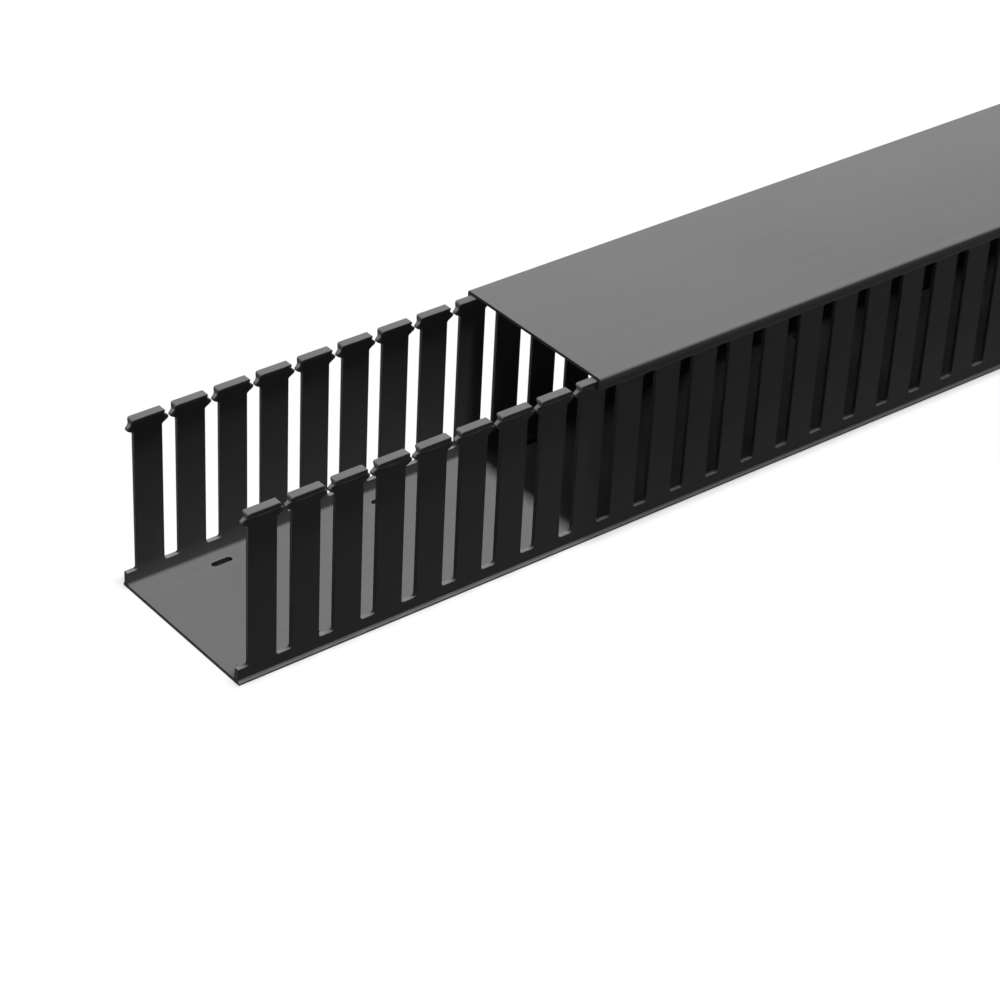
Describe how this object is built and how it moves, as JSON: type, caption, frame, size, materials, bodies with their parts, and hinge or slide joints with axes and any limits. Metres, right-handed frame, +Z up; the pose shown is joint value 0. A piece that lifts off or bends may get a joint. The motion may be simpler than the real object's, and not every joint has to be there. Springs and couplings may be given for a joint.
{
  "type": "slotted wire duct",
  "caption": "Open-slot wiring duct: a channel whose two finger walls let wires out between hooked heads, with a clip-on cover pushed back from one end.",
  "frame": {"origin": "middle of the base's underside, halfway along the base and on its centre line", "axes": "+X along the duct, from the open end towards the end where the cover sticks out; +Z up, out of the channel's mouth; the walls stand at -Y and +Y"},
  "size_m": [2.0472, 0.109, 0.101],
  "materials": {
    "base_pvc": "black rigid PVC, satin as extruded, with fine lines along its length",
    "cover_pvc": "black rigid PVC, satin as extruded, with fine lines along its length"
  },
  "bodies": {
    "base": {"duct_base": "base_pvc"},
    "cover": {"duct_cover": "cover_pvc"}
  },
  "joints": [
    {"name": "cover_slide", "type": "slide", "parent": "base", "child": "cover", "axis": [1, 0, 0], "range_m": [-0.2184, 0.3048]}
  ]
}
